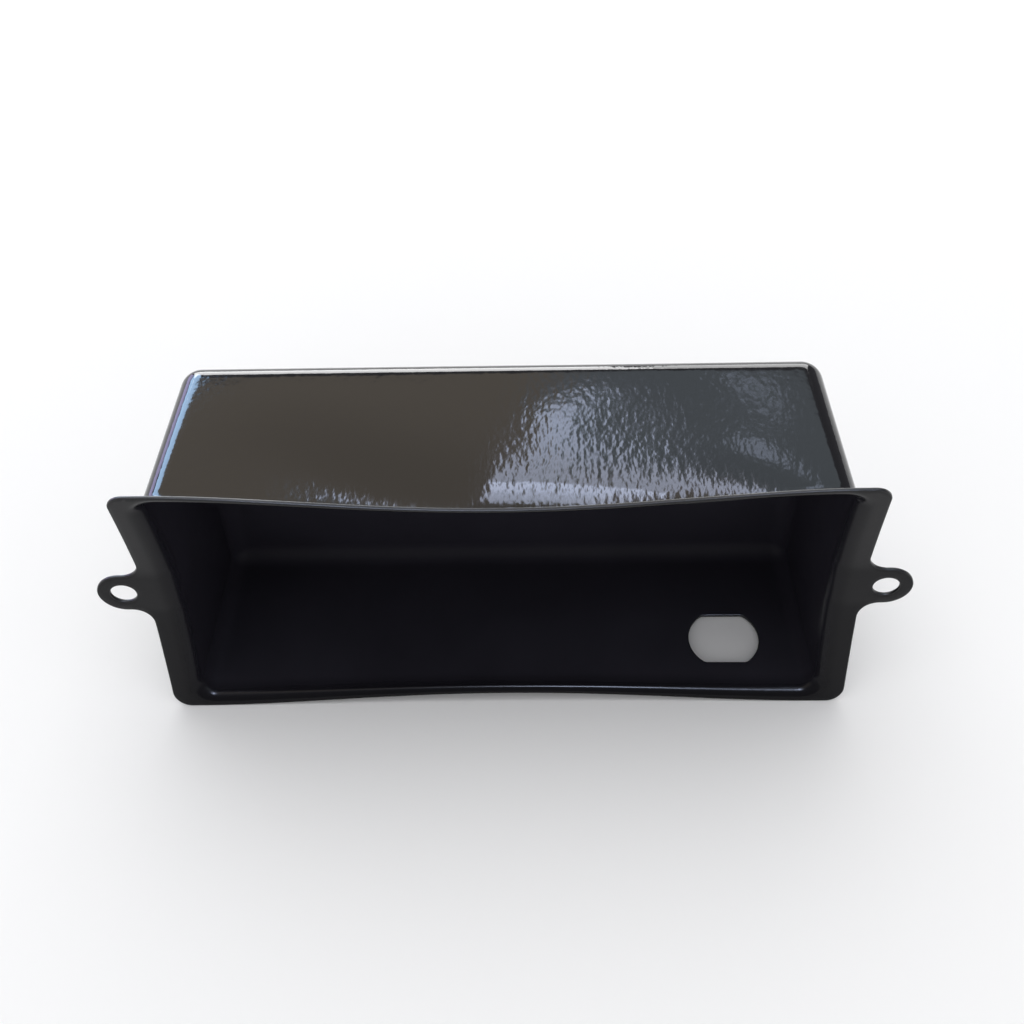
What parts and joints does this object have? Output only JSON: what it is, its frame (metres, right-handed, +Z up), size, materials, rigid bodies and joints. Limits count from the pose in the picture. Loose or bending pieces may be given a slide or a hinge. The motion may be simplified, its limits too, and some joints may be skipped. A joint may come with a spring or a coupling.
{
  "type": "oil drain pan",
  "caption": "Open rectangular pan drawn in black painted sheet steel, with a turned lip, saddle-curved end flanges with screw ears, and a double-D port in a long wall.",
  "frame": {"origin": "centre of the bounding box on the table, with the pan lying on its port wall", "axes": "+X along the pan, towards the port; +Y from the mouth to the closed end; +Z up"},
  "size_m": [0.216, 0.059, 0.0894],
  "materials": {
    "black_paint": "thick gloss black paint with a slight orange peel, on sheet steel"
  },
  "bodies": {
    "root": {"drawn_tub": "black_paint", "left_end_flange": "black_paint", "right_end_flange": "black_paint"}
  },
  "joints": []
}
